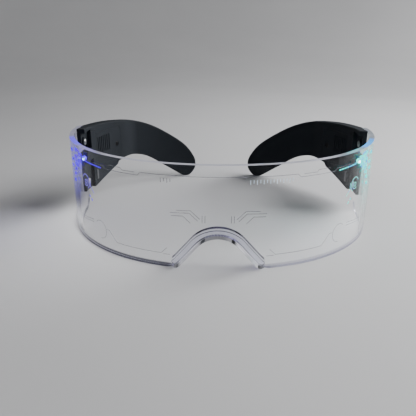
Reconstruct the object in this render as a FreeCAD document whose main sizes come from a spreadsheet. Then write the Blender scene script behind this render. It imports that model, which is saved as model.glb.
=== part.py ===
# Light up party glasses: one clear wraparound lens screwed to two one-piece spring temples.
# Each temple front is a housing with a coin cell, a circuit board, a mode button and an LED.
# Millimetres. Z is up, the front faces -Y, and the origin is under the middle of the part.
import FreeCAD
import Part
import Sketcher
import math
import os

Vector = FreeCAD.Vector
Placement = FreeCAD.Placement

# Driving sizes, one sheet cell each
SIZES = {
    # Lens
    "overall_width": 164.0,
    "wrap_axis_shift": 8.0,
    "front_radius_excess": 24.0,
    "lens_height": 48.5,
    "lens_thickness": 2.5,
    "lens_lap": 12.5,
    "lens_low_corner": 8.0,
    "notch_half_width": 24.0,
    "notch_height_share": 0.7,
    "notch_crown_share": 0.5417,
    "notch_flank_degrees": 50.2,
    # Nose pad
    "nose_lip_height": 2.6,
    "nose_sole": 1.3,
    "nose_end_degrees": 38.0,
    "nose_front_lip": 0.9,
    "nose_rear_lip": 2.4,
    # Temple outline and walls
    "temple_lead": 7.373,
    "tail_gap": 38.17,
    "temple_rise": 0.5,
    "blade_thickness": 2.8,
    "blade_edge_break": 0.5,
    "housing_thickness": 6.8,
    "housing_end_land": 0.335,
    "blade_blend": 18.0,
    "flange_length": 13.5,
    "flange_thickness": 2.0,
    "top_lip_height": 2.6,
    # Window notch and lens screws in the flange
    "window_drop": 8.1,
    "window_height": 5.3,
    "window_rear_gap": 0.9,
    "lug_radius": 2.7,
    "lug_height": 1.0,
    "lens_screw_arc": 4.6,
    "lens_screw_drop": 8.0,
    "lens_screw_rise": 18.0,
    "lens_screw_radius": 0.9,
    "lens_screw_head_radius": 1.7,
    "lens_screw_head_height": 0.7,
    "lens_screw_sink": 0.05,
    # LED
    "led_drop": 16.5,
    "led_radius": 1.5,
    "led_length": 5.3,
    "led_tip_arc": -0.8,
    "led_axis_arc": 6.5,
    "led_lead_side": 0.45,
    "led_lead_pitch": 2.0,
    "led_lead_end_arc": 16.0,
    "led_boss_start": 0.8,
    "led_boss_height": 6.0,
    # Board bay and its lid
    "board_arc": 17.5,
    "board_bay_width": 5.4,
    "board_bay_wall": 1.8,
    "board_bay_corner": 1.0,
    "board_width": 4.6,
    "board_rise": 15.6,
    "board_drop": 6.0,
    "board_end_gap": 1.0,
    "board_thickness": 0.8,
    "board_depth": 4.0,
    "board_post_radius": 1.5,
    "board_rest_height": 1.2,
    "lid_rim": 0.7,
    "lid_thickness": 1.0,
    "lid_gap": 0.15,
    # Mode button and switch
    "button_up_share": 0.113,
    "button_width": 2.0,
    "button_height": 6.0,
    "button_proud": 0.6,
    "button_brim": 0.6,
    "button_brim_thickness": 0.5,
    "button_gap": 0.15,
    "button_seat_gap": 0.05,
    "button_corner": 0.8,
    "button_travel": 0.5,
    "switch_side": 3.4,
    "switch_height": 0.5,
    "switch_plunger_radius": 0.9,
    # Other things on the board
    "chip_drop": 4.4,
    "chip_width": 2.6,
    "chip_height": 4.9,
    "chip_thickness": 1.0,
    "chip_standoff": 0.15,
    "chip_leg_pairs": 4,
    "chip_leg_width": 0.4,
    "chip_leg_pitch": 1.27,
    "chip_leg_reach": 0.8,
    "board_screw_land": 0.25,
    "board_screw_radius": 0.6,
    "board_screw_head_radius": 1.2,
    "board_screw_head_height": 0.6,
    "board_screw_length": 2.6,
    # Battery bay
    "battery_up_share": 0.606,
    "battery_height_share": 0.4082,
    "battery_bay_land": 0.81,
    "battery_bay_corner": 2.0,
    "battery_wall": 2.4,
    "cell_radius": 8.0,
    "cell_thickness": 2.0,
    "cell_gap": 0.25,
    "cell_front_land": 2.1,
    "strip_thickness": 0.3,
    "strip_width": 3.4,
    "strip_overlap": 6.5,
    "strip_gap": 0.3,
    "slot_height": 10.4,
    "slot_rear_reach": 4.8,
    "slot_front_reach": 3.2,
    "lead_side": 0.6,
    "lead_start_drop": 1.0,
    "lead_end_gap": 0.15,
    "lead_end_shift": 1.2,
    # Battery cover and its screw
    "cover_gap": 0.15,
    "cover_seat_gap": 0.1,
    "rib_count": 7,
    "rib_pitch": 2.3,
    "rib_width": 0.8,
    "rib_proud": 0.4,
    "rib_length": 10.0,
    "rib_raise": 2.4,
    "rib_shift": -4.9,
    "cover_screw_land": 3.2,
    "cover_screw_edge": 3.7,
    "cover_screw_raise": -0.7,
    "cover_screw_radius": 0.7,
    "cover_screw_gap": 0.08,
    "cover_screw_length": 3.4,
    "cover_screw_head_radius": 1.5,
    "cover_screw_head_height": 0.7,
    "cover_screw_recess": 0.9,
    # Working allowances: how far cuts run past a face, how far pads sink into one, the longest cut
    "overrun": 2.0,
    "root": 0.5,
    "long_cut": 25.0,
    "same_place": 0.02,
}

# Temple side outline: 0 to 1 along the housing and 1 to 2 along the blade, then shares of the height
TOP_SHARES = ((0, 1), (0.2407, 0.98), (0.4995, 0.961), (0.7605, 0.947), (1.0316, 0.922),
    (1.1918, 0.894), (1.352, 0.843), (1.5122, 0.762), (1.6562, 0.659), (1.784, 0.552),
    (1.8956, 0.433), (1.9676, 0.308), (2, 0.18))
TIP_SHARES = ((2, 0.18), (1.982, 0.088), (1.9406, 0.024), (1.8794, 0))
ARCH_SHARES = ((1.8794, 0), (1.8074, 0.033), (1.6886, 0.131), (1.5842, 0.216), (1.4888, 0.298),
    (1.3844, 0.367), (1.28, 0.406), (1.1846, 0.424), (1.0964, 0.429), (1.0352, 0.427),
    (0.98, 0.418))
NOTCH_CORNER_SHARE = (0.918, 0.404)
FLARE_SHARES = ((0.895, 0.375), (0.6, 0.29), (0.26, 0.245))
FRONT_LOW_SHARE = (0, 0.262)

doc = FreeCAD.newDocument("party_glasses")
sheet = doc.addObject("Spreadsheet::Sheet", "Sizes")
for row, (alias, value) in enumerate(SIZES.items(), start=1):
    sheet.set(f"A{row}", alias)
    sheet.set(f"B{row}", str(value))
    sheet.setAlias(f"B{row}", alias)
doc.recompute()


def size(alias):
    return float(sheet.get(alias))


# Plan shared by the lens and the temples: a front arc, then one wrap circle on each side
HALF_WIDTH = size("overall_width") / 2
WRAP = HALF_WIDTH - size("wrap_axis_shift")
FRONT_RADIUS = WRAP + size("front_radius_excess")
LENS = size("lens_thickness")
AXIS_X = size("wrap_axis_shift")
JOIN_ANGLE = math.asin(AXIS_X / (FRONT_RADIUS - WRAP))
AXIS_BACK = FRONT_RADIUS - (FRONT_RADIUS - WRAP) * math.cos(JOIN_ANGLE)
FRONT_ANGLE = -math.asin(size("temple_lead") / WRAP)
TAIL_ANGLE = math.acos((size("tail_gap") / 2 - AXIS_X) / WRAP)
LENGTH = (TAIL_ANGLE - FRONT_ANGLE) * WRAP
OVERALL_DEPTH = AXIS_BACK + WRAP * math.sin(TAIL_ANGLE)
FRONT_Y = (size("nose_front_lip") - OVERALL_DEPTH) / 2
AXIS = Vector(AXIS_X, FRONT_Y + AXIS_BACK, 0)
FRONT_CENTRE = Vector(0, FRONT_Y + FRONT_RADIUS, 0)
MID_ANGLE = (FRONT_ANGLE + TAIL_ANGLE) / 2
OVERRUN = size("overrun")
ROOT = size("root")
LONG_CUT = size("long_cut")
SAME = size("same_place")
UP = Vector(0, 0, 1)

# Depths, as radii from the wrap axis
HOUSING_INNER = WRAP - size("housing_thickness")
FLANGE_OUTER = WRAP - LENS
FLANGE_INNER = FLANGE_OUTER - size("flange_thickness")
BOARD_FACE = WRAP - size("board_depth")
BOARD_BACK = BOARD_FACE + size("board_thickness")
BOARD_FLOOR = WRAP - size("board_bay_wall")
LID_SEAT = HOUSING_INNER + size("lid_thickness")
BATTERY_FLOOR = WRAP - size("battery_wall")
CELL_BACK = BATTERY_FLOOR - size("strip_thickness")
CELL_FACE = CELL_BACK - size("cell_thickness")
SPRING_FACE = CELL_FACE - size("strip_thickness")
COVER_SEAT = SPRING_FACE - size("cover_gap")

# Heights: what lies near the top edge is measured down from it, and the rest up from the foot
HEIGHT = size("lens_height") + size("temple_rise")
WINDOW_TOP = HEIGHT - size("window_drop")
WINDOW_BOTTOM = WINDOW_TOP - size("window_height")
LENS_SCREW_UPS = HEIGHT - size("lens_screw_drop"), size("lens_screw_rise")
LED_UP = HEIGHT - size("led_drop")
BOARD_LOW = size("board_rise")
BOARD_HIGH = HEIGHT - size("board_drop")
BOARD_UP = (BOARD_LOW + BOARD_HIGH) / 2
BAY_HEIGHT = BOARD_HIGH - BOARD_LOW + 2 * size("board_end_gap")
CHIP_UP = BOARD_HIGH - size("chip_drop")
BUTTON_UP = BOARD_LOW + size("button_up_share") * (BOARD_HIGH - BOARD_LOW)
BATTERY_UP = BOARD_LOW + size("battery_up_share") * (BOARD_HIGH - BOARD_LOW)
COVER_SCREW_UP = BATTERY_UP + size("cover_screw_raise")
STRIP_AWAY = size("slot_height") / 4 + size("strip_gap")
POST_TOP = BATTERY_UP - STRIP_AWAY - size("lead_side") / 2 - size("board_screw_land")
BOARD_SCREW_UP = POST_TOP - size("board_post_radius")

# Places along the temple, as arcs: the battery bay follows the board's lid, and the housing ends behind it
BATTERY_LENGTH = size("cell_front_land") + 2 * size("cell_radius") + size("cover_screw_land")
BATTERY_LENGTH = BATTERY_LENGTH + size("cover_screw_edge")
BATTERY_HEIGHT = HEIGHT * size("battery_height_share")
CELL_SHIFT = BATTERY_LENGTH / 2 - size("cell_front_land") - size("cell_radius")
COVER_SCREW_SHIFT = BATTERY_LENGTH / 2 - size("cover_screw_edge")
SEAT_WIDTH = size("board_bay_width") + 2 * size("lid_rim")
BAYS_APART = SEAT_WIDTH / 2 + size("battery_bay_land") + BATTERY_LENGTH / 2
BATTERY_ARC = size("board_arc") + BAYS_APART * WRAP / HOUSING_INNER
BAY_END = BATTERY_ARC + BATTERY_LENGTH / 2 * WRAP / HOUSING_INNER
HOUSING_END = BAY_END + size("housing_end_land")
BLADE_START = HOUSING_END + size("blade_blend")


def frame(arc, up, radius, centre=AXIS, turn=0.0):
    """A place on the wrap: X runs back along the temple, Y is up and Z points out from the head."""
    angle = FRONT_ANGLE + arc / WRAP - turn
    out = Vector(math.cos(angle), math.sin(angle), 0)
    along = Vector(-math.sin(angle), math.cos(angle), 0)
    return Placement(centre + out * radius + UP * up, FreeCAD.Rotation(along, UP, out, "ZXY"))


def shell_frame(arc, up, radius):
    """The same place inside the temple shell's body, which is turned to the middle of its wrap."""
    return frame(arc, up, radius, Vector(), MID_ANGLE)


def shifted(place, along=0.0, up=0.0, out=0.0):
    return place.multiply(Placement(Vector(along, up, out), FreeCAD.Rotation()))


def lifted(height, up=0.0):
    """A sketch plane moved along its normal and, where up is given, along its own Y."""
    return Placement(Vector(0, up, height), FreeCAD.Rotation())


def local_angle(arc):
    return FRONT_ANGLE + arc / WRAP - MID_ANGLE


def polar(radius, angle, centre=Vector()):
    return centre + Vector(radius * math.cos(angle), radius * math.sin(angle), 0)


# Sketch helpers
def new_body(label, place=Placement()):
    body = doc.addObject("PartDesign::Body", label)
    body.Label = label
    body.Placement = place
    return body


def new_sketch(body, name, place=Placement(), role="XY_Plane"):
    plane = next(item for item in body.Origin.OriginFeatures if item.Role == role)
    sketch = body.newObject("Sketcher::SketchObject", name)
    sketch.AttachmentSupport = (plane, "")
    sketch.MapMode = "FlatFace"
    sketch.AttachmentOffset = place
    return sketch


def add_arc(sketch, radius, start, end, centre=Vector()):
    circle = Part.Circle(centre, UP, radius)
    sketch.addGeometry(Part.ArcOfCircle(circle, min(start, end), max(start, end)))


def add_line(sketch, start, end):
    sketch.addGeometry(Part.LineSegment(start, end))


def add_loop(sketch, points):
    for start, end in zip(points, points[1:] + points[:1]):
        add_line(sketch, start, end)


def add_circle(sketch, cell, x=0.0, y=0.0):
    index = sketch.addGeometry(Part.Circle(Vector(x, y, 0), UP, size(cell)))
    name = f"radius_{index}"
    sketch.addConstraint(Sketcher.Constraint("Radius", index, size(cell)))
    sketch.renameConstraint(sketch.ConstraintCount - 1, name)
    sketch.setExpression(f"Constraints.{name}", f"Sizes.{cell}")


def add_disc(sketch, radius, x=0.0, y=0.0):
    sketch.addGeometry(Part.Circle(Vector(x, y, 0), UP, radius))


def add_box(sketch, width, height, x=0.0, y=0.0, corner=0.0):
    """A rectangle about x, y, with round corners where corner is over zero."""
    right, top = width / 2, height / 2
    if not corner:
        add_loop(sketch, [Vector(x + sx * right, y + sy * top, 0)
                          for sx, sy in ((-1, -1), (1, -1), (1, 1), (-1, 1))])
        return
    for turn, (sx, sy) in enumerate(((1, 1), (-1, 1), (-1, -1), (1, -1))):
        centre = Vector(x + sx * (right - corner), y + sy * (top - corner), 0)
        add_arc(sketch, corner, turn * math.pi / 2, (turn + 1) * math.pi / 2, centre)
    for side in (-1, 1):
        across = Vector(right - corner, 0, 0)
        upright = Vector(0, top - corner, 0)
        level = Vector(x, y + side * top, 0)
        flank = Vector(x + side * right, y, 0)
        add_line(sketch, level - across, level + across)
        add_line(sketch, flank - upright, flank + upright)


def spline(points, start=None, end=None):
    """A smooth curve through the points, with a set direction at either end where one is given."""
    curve = Part.BSplineCurve()
    tangents = [start or Vector(1, 0, 0)] + [Vector(1, 0, 0)] * (len(points) - 2) + [end or Vector(1, 0, 0)]
    flags = [start is not None] + [False] * (len(points) - 2) + [end is not None]
    curve.interpolate(Points=points, Tangents=tangents, TangentFlags=flags)
    return curve


# Feature helpers: a pad grows along its sketch's normal and a pocket cuts against it
def extrude(body, sketch, length, kind="Pad", reverse=False, middle=False):
    feature = body.newObject(f"PartDesign::{kind}", f"{sketch.Name}_{kind}")
    feature.Profile = sketch
    if isinstance(length, str):
        feature.setExpression("Length", length)
    else:
        feature.Length = length
    feature.Reversed = reverse
    feature.Midplane = middle
    return feature


def revolve(body, sketch, axis):
    feature = body.newObject("PartDesign::Revolution", f"{sketch.Name}_turned")
    feature.Profile = sketch
    feature.ReferenceAxis = (sketch, [axis])
    feature.Angle = 360
    return feature


def edge_names(shape, wanted):
    return [f"Edge{number}" for number, edge in enumerate(shape.Edges, start=1) if wanted(edge)]


def fillet(body, base, names, cell):
    feature = body.newObject("PartDesign::Fillet", f"{base.Name}_round")
    feature.Base = (base, names)
    feature.setExpression("Radius", f"Sizes.{cell}")


def chamfer(body, base, names, cell):
    feature = body.newObject("PartDesign::Chamfer", f"{base.Name}_bevel")
    feature.Base = (base, names)
    feature.setExpression("Size", f"Sizes.{cell}")


# Lens: a plan band raised to the lens height, with the nose notch cut from the front
NOTCH_WIDE = size("notch_half_width")
NOTCH_HEIGHT = NOTCH_WIDE * size("notch_height_share")
NOTCH_CROWN = NOTCH_WIDE * size("notch_crown_share")
NOTCH_FLANK = math.radians(size("notch_flank_degrees"))
# The flares at the notch's foot have the one radius that is tangent to both flank and lower edge
NOTCH_FLARE = ((NOTCH_HEIGHT - NOTCH_WIDE * math.tan(NOTCH_FLANK)
                + NOTCH_CROWN * (1 / math.cos(NOTCH_FLANK) - 1)) / (1 - 1 / math.cos(NOTCH_FLANK)))
BOTTOM = -math.pi / 2


def notch_edges(sketch, offset=0.0, stop=0.0):
    """Flare, flank, crown, flank and flare of the notch, moved towards the lens by offset."""
    crown = Vector(0, NOTCH_HEIGHT - NOTCH_CROWN, 0)
    add_arc(sketch, NOTCH_CROWN + offset, -BOTTOM - NOTCH_FLANK, -BOTTOM + NOTCH_FLANK, crown)
    for side in (1, -1):
        flare = Vector(side * NOTCH_WIDE, NOTCH_FLARE, 0)
        foot = BOTTOM - side * NOTCH_FLANK
        add_arc(sketch, NOTCH_FLARE - offset, foot, BOTTOM - side * stop, flare)
        shoulder = polar(NOTCH_CROWN + offset, -BOTTOM - side * NOTCH_FLANK, crown)
        add_line(sketch, polar(NOTCH_FLARE - offset, foot, flare), shoulder)


LENS_END = FRONT_ANGLE + size("lens_lap") / WRAP
lens = new_body("visor_lens")
plan = new_sketch(lens, "lens_plan")
for depth in (0, LENS):
    lead = math.pi / 2 - JOIN_ANGLE
    add_arc(plan, FRONT_RADIUS - depth, -math.pi / 2 - JOIN_ANGLE, -lead, FRONT_CENTRE)
    add_arc(plan, WRAP - depth, -lead, LENS_END, AXIS)
    add_arc(plan, WRAP - depth, math.pi - LENS_END, math.pi + lead, Vector(-AXIS.x, AXIS.y, 0))
tip = polar(WRAP, LENS_END, AXIS)
heel = polar(WRAP - LENS, LENS_END, AXIS)
add_line(plan, tip, heel)
add_line(plan, Vector(-tip.x, tip.y, 0), Vector(-heel.x, heel.y, 0))
extrude(lens, plan, "Sizes.lens_height")

notch = new_sketch(lens, "nose_notch", lifted(OVERRUN - FRONT_Y), "XZ_Plane")
notch_edges(notch)
add_line(notch, Vector(-NOTCH_WIDE, -OVERRUN, 0), Vector(NOTCH_WIDE, -OVERRUN, 0))
for side in (-1, 1):
    add_line(notch, Vector(side * NOTCH_WIDE, 0, 0), Vector(side * NOTCH_WIDE, -OVERRUN, 0))
notch_cut = extrude(lens, notch, LONG_CUT, "Pocket")

lens_holes = new_sketch(lens, "lens_screw_holes", frame(size("lens_screw_arc"), 0, WRAP + OVERRUN))
for up in LENS_SCREW_UPS:
    add_circle(lens_holes, "lens_screw_radius", 0, up)
lens_hole_cut = extrude(lens, lens_holes, LENS + 2 * OVERRUN, "Pocket")
doc.recompute()
lens_mirror = lens.newObject("PartDesign::Mirrored", "lens_holes_mirrored")
lens_mirror.Originals = [lens_hole_cut]
side_plane = next(item for item in lens.Origin.OriginFeatures if item.Role == "YZ_Plane")
lens_mirror.MirrorPlane = (side_plane, [""])
lens.Tip = lens_mirror
doc.recompute()


low_end = polar(WRAP - LENS / 2, LENS_END, AXIS)


def at_low_end(edge):
    """Whether an edge crosses the lens's wall at the foot of either end."""
    middle = Vector(abs(edge.CenterOfMass.x), edge.CenterOfMass.y, edge.CenterOfMass.z)
    return edge.Length < LENS + SAME and middle.distanceToPoint(low_end) < SAME


fillet(lens, lens_mirror, edge_names(lens_mirror.Shape, at_low_end), "lens_low_corner")
doc.recompute()

# Nose pad: a soft channel that grips the edge of the notch
nose_blank = new_body("nose_pad_blank")
strip = new_sketch(nose_blank, "nose_strip", lifted(OVERRUN - FRONT_Y), "XZ_Plane")
NOSE_END = math.radians(size("nose_end_degrees"))
for offset in (size("nose_lip_height"), -size("nose_sole")):
    notch_edges(strip, offset, NOSE_END)
pad_middle = NOTCH_FLARE - (size("nose_lip_height") - size("nose_sole")) / 2
for side in (1, -1):
    flare = Vector(side * NOTCH_WIDE, NOTCH_FLARE, 0)
    angle = BOTTOM - side * NOSE_END
    cap = (size("nose_lip_height") + size("nose_sole")) / 2
    add_arc(strip, cap, angle, angle + side * math.pi, polar(pad_middle, angle, flare))
extrude(nose_blank, strip, LONG_CUT, reverse=True)
nose_plan = new_sketch(nose_blank, "nose_plan", lifted(-OVERRUN))
spread = math.pi / 4
nose_front = FRONT_RADIUS + size("nose_front_lip")
nose_rear = FRONT_RADIUS - LENS - size("nose_rear_lip")
for radius in (nose_front, nose_rear, nose_front + LONG_CUT, nose_rear - LONG_CUT):
    add_arc(nose_plan, radius, -math.pi / 2 - spread, -math.pi / 2 + spread, FRONT_CENTRE)
for inner, outer in ((nose_front, nose_front + LONG_CUT), (nose_rear - LONG_CUT, nose_rear)):
    for angle in (-math.pi / 2 - spread, -math.pi / 2 + spread):
        add_line(nose_plan, polar(inner, angle, FRONT_CENTRE), polar(outer, angle, FRONT_CENTRE))
extrude(nose_blank, nose_plan, "Sizes.lens_height", "Pocket", reverse=True)
doc.recompute()
nose_pad = doc.addObject("Part::Cut", "nose_pad")
nose_pad.Label = "nose_pad"
nose_pad.Base = nose_blank
nose_pad.Tool = lens

# Temple shell: the side outline is lofted out from the wrap axis, then trimmed to the plan band
NEAR = WRAP / 2
FAR = WRAP + OVERRUN


def run(place):
    """The arc of a place along the outline: 0 to 1 is the housing and 1 to 2 the blade."""
    return place * HOUSING_END if place <= 1 else HOUSING_END + (place - 1) * (LENGTH - HOUSING_END)


def outline_point(share):
    angle = local_angle(run(share[0]))
    return Vector(FAR * math.tan(angle), share[1] * HEIGHT, 0)


def outline_edges():
    """The outline's edges as seen on the far plane."""
    top = [outline_point(share) for share in TOP_SHARES]
    tip = [outline_point(share) for share in TIP_SHARES]
    arch = [outline_point(share) for share in ARCH_SHARES]
    flare = [outline_point(share) for share in FLARE_SHARES]
    corner = outline_point(NOTCH_CORNER_SHARE)
    front = outline_point(FRONT_LOW_SHARE)
    down = Vector(0, -1, 0)
    forward = Vector(-1, 0, 0)
    return [
        spline(top, end=down),
        spline(tip, down, forward),
        spline(arch, start=forward),
        Part.LineSegment(arch[-1], corner),
        Part.LineSegment(corner, flare[0]),
        Part.Arc(*flare),
        Part.LineSegment(flare[-1], front),
        Part.LineSegment(front, top[0]),
    ]


def drawn_in(edge, share):
    """The same edge on a nearer plane: its width shrinks with the distance from the axis."""
    curve = edge.toBSpline() if not isinstance(edge, Part.BSplineCurve) else edge.copy()
    for number, pole in enumerate(curve.getPoles(), start=1):
        curve.setPole(number, Vector(pole.x * share, pole.y, 0))
    return curve


outlines = []
for name, distance in (("outline_near", NEAR), ("outline_far", FAR)):
    outline = doc.addObject("Sketcher::SketchObject", name)
    facing = FreeCAD.Rotation(Vector(0, 1, 0), UP, Vector(1, 0, 0), "ZXY")
    outline.Placement = Placement(Vector(distance, 0, 0), facing)
    for edge in outline_edges():
        outline.addGeometry(drawn_in(edge, distance / FAR))
    outlines.append(outline)
wedge = doc.addObject("Part::Loft", "temple_side_outline")
wedge.Sections = outlines
wedge.Solid = True
wedge.Ruled = True
shell = new_body("temple_shell_left", Placement(AXIS, FreeCAD.Rotation(UP, math.degrees(MID_ANGLE))))
shell.BaseFeature = wedge
doc.recompute()

band = new_sketch(shell, "plan_band", lifted(-OVERRUN))
front_angle = local_angle(-OVERRUN)
tail_angle = local_angle(LENGTH + OVERRUN)
seam_angle = local_angle(size("lens_lap"))
blade_angle = local_angle(BLADE_START)
housing_angle = local_angle(HOUSING_END)
BLADE_INNER = WRAP - size("blade_thickness")
add_arc(band, FLANGE_OUTER, front_angle, seam_angle)
add_line(band, polar(FLANGE_OUTER, seam_angle), polar(WRAP, seam_angle))
add_arc(band, WRAP, seam_angle, tail_angle)
add_line(band, polar(WRAP, tail_angle), polar(BLADE_INNER, tail_angle))
add_arc(band, BLADE_INNER, blade_angle, tail_angle)
ends = polar(BLADE_INNER, blade_angle), polar(HOUSING_INNER, housing_angle)
band.addGeometry(spline(list(ends), UP.cross(ends[0]) * -1, UP.cross(ends[1]) * -1))
add_arc(band, HOUSING_INNER, front_angle, housing_angle)
add_line(band, polar(HOUSING_INNER, front_angle), polar(FLANGE_OUTER, front_angle))
add_box(band, 2 * WRAP, 4 * WRAP, WRAP)
extrude(shell, band, HEIGHT + 2 * OVERRUN, "Pocket", reverse=True)
doc.recompute()

# The flange that carries the lens is thinned from inside, below a full-depth top lip
recess = new_sketch(shell, "flange_recess", lifted(HEIGHT - size("top_lip_height")))
step_angle = local_angle(size("flange_length"))
deep = HOUSING_INNER - OVERRUN
add_arc(recess, FLANGE_INNER, front_angle, step_angle)
add_arc(recess, deep, front_angle, step_angle)
for angle in (front_angle, step_angle):
    add_line(recess, polar(FLANGE_INNER, angle), polar(deep, angle))
extrude(shell, recess, HEIGHT, "Pocket")

boss = new_sketch(shell, "led_boss", lifted(LED_UP - size("led_boss_height") / 2))
boss_angle = local_angle(size("led_boss_start"))
rear_angle = local_angle(size("flange_length") + ROOT)
root = FLANGE_INNER + ROOT
add_arc(boss, root, boss_angle, rear_angle)
add_arc(boss, HOUSING_INNER, boss_angle, rear_angle)
for angle in (boss_angle, rear_angle):
    add_line(boss, polar(root, angle), polar(HOUSING_INNER, angle))
extrude(shell, boss, "Sizes.led_boss_height")

# Window notch, open to the front, around a screw lug that hangs from the upper flange
window = new_sketch(shell, "window", shell_frame(size("lens_screw_arc"), 0, WRAP + OVERRUN))
rear = size("flange_length") - size("window_rear_gap") - size("lens_screw_arc")
front = -size("lens_screw_arc") - OVERRUN
low = WINDOW_BOTTOM
high = WINDOW_TOP
lug = size("lug_radius")
lug_up = LENS_SCREW_UPS[0]
drop = lug_up - high
half_chord = math.sqrt(lug ** 2 - drop ** 2)
add_line(window, Vector(front, low, 0), Vector(rear, low, 0))
add_line(window, Vector(rear, low, 0), Vector(rear, high, 0))
add_line(window, Vector(rear, high, 0), Vector(half_chord, high, 0))
lug_ends = Vector(half_chord, high, 0), Vector(-half_chord, high, 0)
window.addGeometry(Part.Arc(lug_ends[0], Vector(0, lug_up - lug, 0), lug_ends[1]))
add_line(window, Vector(-half_chord, high, 0), Vector(front, high, 0))
add_line(window, Vector(front, high, 0), Vector(front, low, 0))
extrude(shell, window, LENS + size("flange_thickness") + 2 * OVERRUN, "Pocket")

lugs = new_sketch(shell, "screw_lugs", shell_frame(size("lens_screw_arc"), 0, FLANGE_INNER + ROOT))
for up in LENS_SCREW_UPS:
    add_circle(lugs, "lug_radius", 0, up)
extrude(shell, lugs, size("lug_height") + ROOT, reverse=True)
lug_holes = new_sketch(shell, "screw_lug_holes", shell_frame(size("lens_screw_arc"), 0, WRAP))
for up in LENS_SCREW_UPS:
    add_circle(lug_holes, "lens_screw_radius", 0, up)
extrude(shell, lug_holes, size("housing_thickness") + OVERRUN, "Pocket")
doc.recompute()

# LED bore along the wall, from the boss face to the board bay
LEAD_SIDE = size("led_lead_side")
board_turn = (size("led_lead_end_arc") - size("board_arc")) / WRAP
axis_turn = (size("led_lead_end_arc") - size("led_axis_arc")) / WRAP
LED_END = (BOARD_FACE - LEAD_SIDE / 2) / math.cos(board_turn)
LED_RADIUS = LED_END * math.cos(axis_turn)
facing_back = Placement(Vector(), FreeCAD.Rotation(Vector(0, 1, 0), 90))
bore_seat = shell_frame(size("led_axis_arc"), LED_UP, LED_RADIUS).multiply(facing_back)
bore = new_sketch(shell, "led_bore", shifted(bore_seat, out=size("board_arc") - size("led_axis_arc")))
add_circle(bore, "led_radius")
extrude(shell, bore, size("board_arc") + OVERRUN, "Pocket")

# Board bay: a lid seat, then the bay itself, with two posts for the board
RIM = size("lid_rim")
SEAT_HEIGHT = BAY_HEIGHT + 2 * RIM
SEAT_CORNER = size("board_bay_corner") + RIM
seat = new_sketch(shell, "lid_seat", shell_frame(size("board_arc"), BOARD_UP, LID_SEAT))
add_box(seat, SEAT_WIDTH, SEAT_HEIGHT, corner=SEAT_CORNER)
extrude(shell, seat, size("lid_thickness") + OVERRUN, "Pocket")
bay = new_sketch(shell, "board_bay", shell_frame(size("board_arc"), BOARD_UP, BOARD_FLOOR))
add_box(bay, size("board_bay_width"), BAY_HEIGHT, corner=size("board_bay_corner"))
extrude(shell, bay, size("housing_thickness"), "Pocket")
posts = new_sketch(shell, "board_posts", shell_frame(size("board_arc"), 0, BOARD_FLOOR + ROOT))
add_circle(posts, "board_post_radius", 0, BOARD_SCREW_UP)
for up in (BOARD_HIGH - size("board_rest_height"), BOARD_LOW + size("board_rest_height")):
    add_box(posts, size("board_bay_width") + 2 * ROOT, size("board_rest_height"), 0, up)
extrude(shell, posts, BOARD_FLOOR - BOARD_BACK + ROOT, reverse=True)
screw_end = BOARD_FACE + size("board_screw_length")
hole_place = shell_frame(size("board_arc"), BOARD_SCREW_UP, screw_end)
post_hole = new_sketch(shell, "board_screw_hole", hole_place)
add_circle(post_hole, "board_screw_radius")
extrude(shell, post_hole, "Sizes.board_screw_length", "Pocket")
doc.recompute()

# Battery bay: the cover's opening, a round pocket for the cell, a slot to the board bay and a screw hole
opening_floor = COVER_SEAT + size("cover_seat_gap")
opening = new_sketch(shell, "cover_opening", shell_frame(BATTERY_ARC, BATTERY_UP, opening_floor))
add_box(opening, BATTERY_LENGTH, BATTERY_HEIGHT, corner=size("battery_bay_corner"))
extrude(shell, opening, size("housing_thickness"), "Pocket")
pocket = new_sketch(shell, "cell_pocket", shell_frame(BATTERY_ARC, BATTERY_UP, BATTERY_FLOOR))
add_disc(pocket, size("cell_radius") + size("cell_gap"), -CELL_SHIFT)
extrude(shell, pocket, "Sizes.housing_thickness", "Pocket")
slot = new_sketch(shell, "lead_slot", shell_frame(BATTERY_ARC, BATTERY_UP, BATTERY_FLOOR))
slot_rear = -CELL_SHIFT - size("slot_rear_reach")
slot_front = -(BATTERY_ARC - size("board_arc") - size("slot_front_reach"))
add_box(slot, slot_rear - slot_front, size("slot_height"), (slot_rear + slot_front) / 2)
extrude(shell, slot, BATTERY_FLOOR - COVER_SEAT, "Pocket")
screw_place = shell_frame(BATTERY_ARC, COVER_SCREW_UP, BATTERY_FLOOR)
screw_hole = new_sketch(shell, "cover_screw_hole", screw_place)
add_disc(screw_hole, size("cover_screw_radius") + size("cover_screw_gap"), COVER_SCREW_SHIFT)
extrude(shell, screw_hole, "Sizes.housing_thickness", "Pocket")
doc.recompute()

# The blade's long edges are broken, outside and inside
BLADE_FRONT = local_angle(run(ARCH_SHARES[-1][0]))


def on_blade(edge):
    """Whether an edge follows the blade's outer or inner face behind the front end of the arch."""
    middle = (edge.FirstParameter + edge.LastParameter) / 2
    points = [edge.valueAt(at) for at in (edge.FirstParameter, middle, edge.LastParameter)]
    angles = [math.atan2(point.y, point.x) for point in points]
    radii = [math.hypot(point.x, point.y) for point in points]
    runs_along = max(angles) - min(angles) > SAME
    one_face = any(all(abs(radius - face) < SAME for radius in radii) for face in (WRAP, BLADE_INNER))
    return runs_along and one_face and min(angles) > BLADE_FRONT - SAME


last_cut = shell.Tip
chamfer(shell, last_cut, edge_names(last_cut.Shape, on_blade), "blade_edge_break")
doc.recompute()

# Small parts of the wearer's left side; each is later mirrored for the right side
left_parts = [shell]


def left_body(name, place):
    body = new_body(f"{name}_left", place)
    left_parts.append(body)
    return body


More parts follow.
